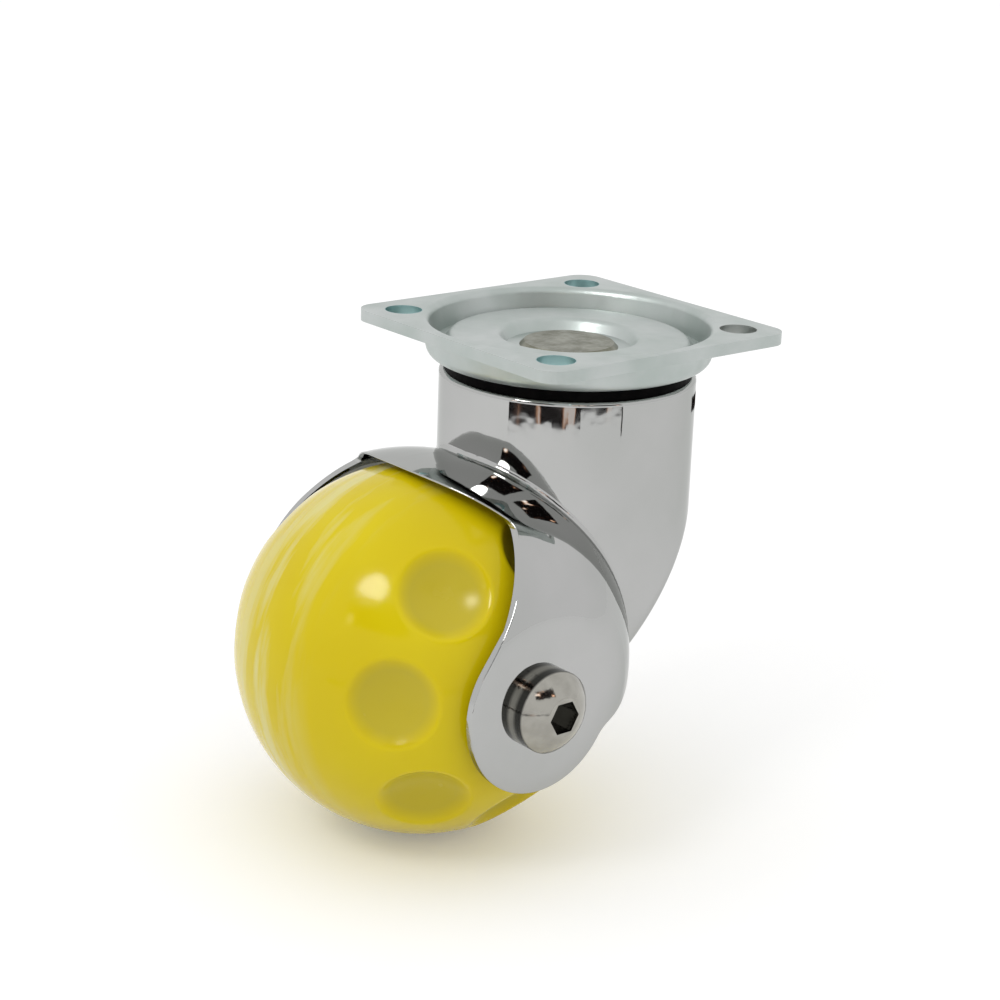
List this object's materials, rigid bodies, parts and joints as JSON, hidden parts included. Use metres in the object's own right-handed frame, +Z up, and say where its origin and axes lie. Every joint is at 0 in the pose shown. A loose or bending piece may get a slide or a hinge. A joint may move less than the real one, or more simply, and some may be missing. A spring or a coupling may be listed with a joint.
{
  "type": "ball caster",
  "caption": "Swivel ball caster: a square pressed mounting plate, a chromed hooded fork on a ball race, and a dimpled yellow ball rolling on a cross axle between the fork's arms.",
  "frame": {"origin": "centre of the plate's top face, on the swivel axis", "axes": "+Z up along the swivel axis, out of the plate's top face; -X is the side the ball trails to; Y lies along the ball's axle"},
  "size_m": [0.0698, 0.0592, 0.067],
  "materials": {
    "zinc_plated_steel": "bright zinc plating, satin",
    "pin_steel": "turned, oiled",
    "race_steel": "turned and ground",
    "bearing_steel": "ground and polished",
    "black_nylon": "moulded, plain",
    "chromed_casting": "polished chrome plating",
    "yellow_urethane": "glossy, marbled with cream",
    "axle_steel": "turned",
    "screw_steel": "nickel plated",
    "cage_steel": "pressed sheet",
    "shield_steel": "pressed sheet"
  },
  "bodies": {
    "plate": {"top_plate": "zinc_plated_steel", "kingpin": "pin_steel"},
    "fork": {"fork_housing": "chromed_casting", "race_insert": "race_steel", "dust_seal": "black_nylon", "axle_tube": "axle_steel", "bearing_spacer": "axle_steel", "right_axle_screw": "screw_steel", "right_axle_washer": "axle_steel", "right_inner_ring": "bearing_steel", "left_axle_screw": "screw_steel", "left_axle_washer": "axle_steel", "left_inner_ring": "bearing_steel"},
    "wheel": {"ball": "yellow_urethane", "right_outer_ring": "bearing_steel", "right_outer_shield": "shield_steel", "right_inner_shield": "shield_steel", "left_outer_ring": "bearing_steel", "left_outer_shield": "shield_steel", "left_inner_shield": "shield_steel"},
    "upper_ball_ring": {"upper_swivel_balls": "bearing_steel"},
    "lower_ball_ring": {"lower_swivel_balls": "bearing_steel"},
    "right_cage_ring": {"right_bearing_balls": "bearing_steel", "right_cage": "cage_steel"},
    "left_cage_ring": {"left_bearing_balls": "bearing_steel", "left_cage": "cage_steel"}
  },
  "joints": [
    {"name": "swivel", "type": "hinge", "parent": "plate", "child": "fork", "pos_m": [0, 0, 0], "axis": [0, 0, 1], "continuous": true},
    {"name": "wheel_spin", "type": "hinge", "parent": "fork", "child": "wheel", "pos_m": [-0.0238, 0, -0.042], "axis": [0, 1, 0], "continuous": true},
    {"name": "upper_balls_turn", "type": "hinge", "parent": "plate", "child": "upper_ball_ring", "pos_m": [0, 0, 0], "axis": [0, 0, 1], "continuous": true},
    {"name": "lower_balls_turn", "type": "hinge", "parent": "plate", "child": "lower_ball_ring", "pos_m": [0, 0, 0], "axis": [0, 0, 1], "continuous": true},
    {"name": "right_cage_turn", "type": "hinge", "parent": "fork", "child": "right_cage_ring", "pos_m": [-0.0238, 0, -0.042], "axis": [0, 1, 0], "continuous": true},
    {"name": "left_cage_turn", "type": "hinge", "parent": "fork", "child": "left_cage_ring", "pos_m": [-0.0238, 0, -0.042], "axis": [0, 1, 0], "continuous": true}
  ],
  "couplings": [
    {"joint": "upper_balls_turn", "follows": "swivel", "ratio": 0.5},
    {"joint": "lower_balls_turn", "follows": "swivel", "ratio": 0.5},
    {"joint": "right_cage_turn", "follows": "wheel_spin", "ratio": 0.6},
    {"joint": "left_cage_turn", "follows": "wheel_spin", "ratio": 0.6}
  ]
}
